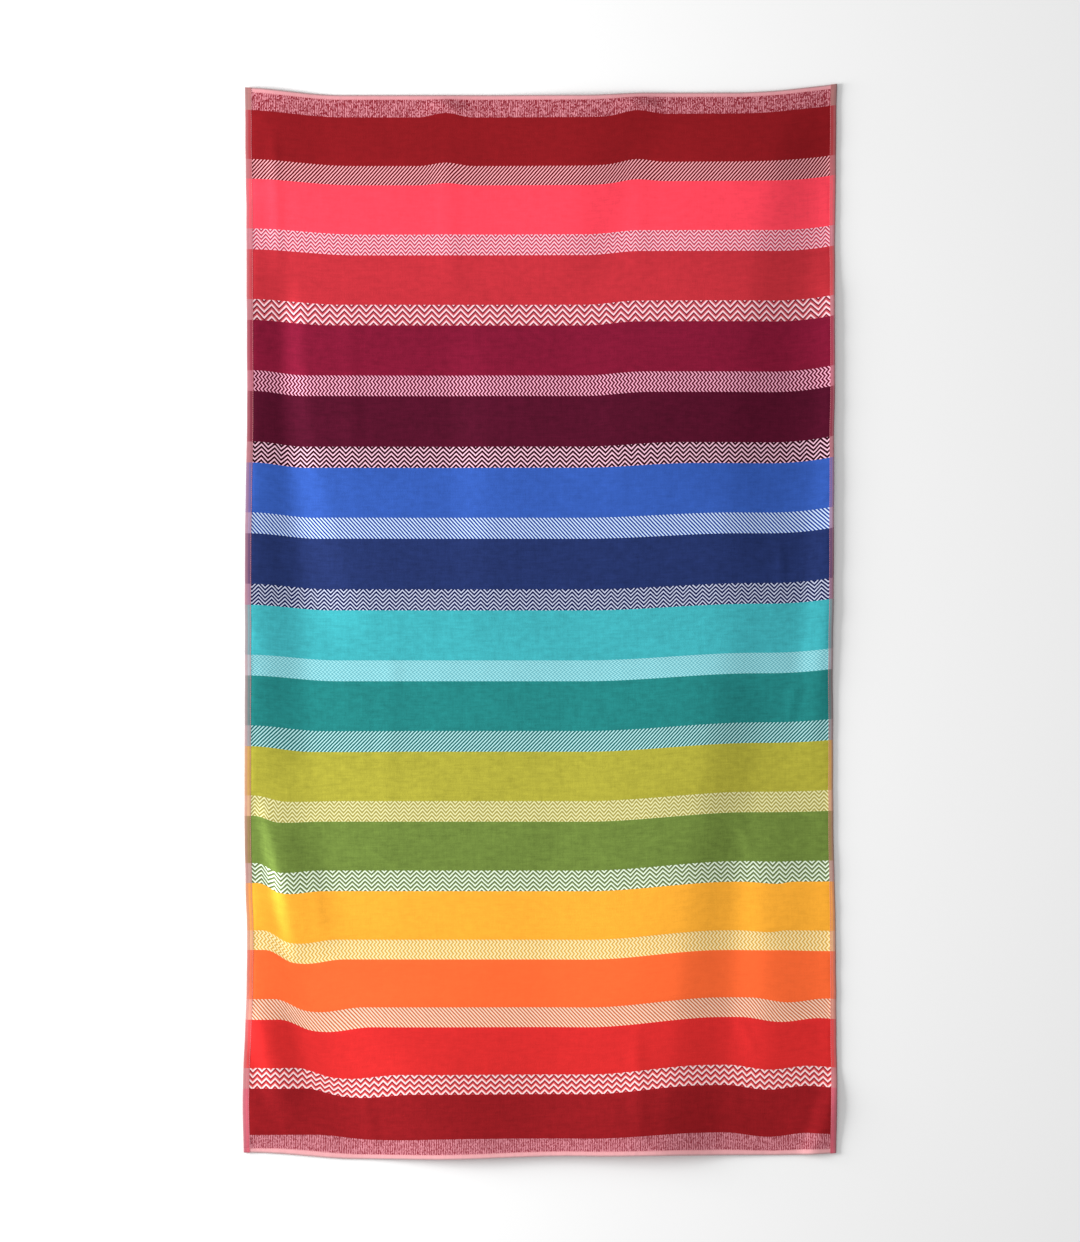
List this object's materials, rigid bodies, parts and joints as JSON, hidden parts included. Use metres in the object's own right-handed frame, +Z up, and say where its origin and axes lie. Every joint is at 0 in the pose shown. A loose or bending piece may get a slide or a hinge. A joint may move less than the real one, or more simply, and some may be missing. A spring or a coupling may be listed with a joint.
{
  "type": "beach towel",
  "caption": "Large striped terry beach towel laid out flat, with wide velour stripes between narrow patterned ones, speckled end borders and low folds.",
  "frame": {"origin": "on the surface that the towel lies on, under the middle of its outline", "axes": "+X across the towel to its right side, +Y along its length to the top hem, +Z up from the surface"},
  "size_m": [1.0042, 1.8158, 0.021],
  "materials": {
    "terry": "velour pile, matt"
  },
  "bodies": {
    "root": {"towel": "terry"}
  },
  "joints": []
}
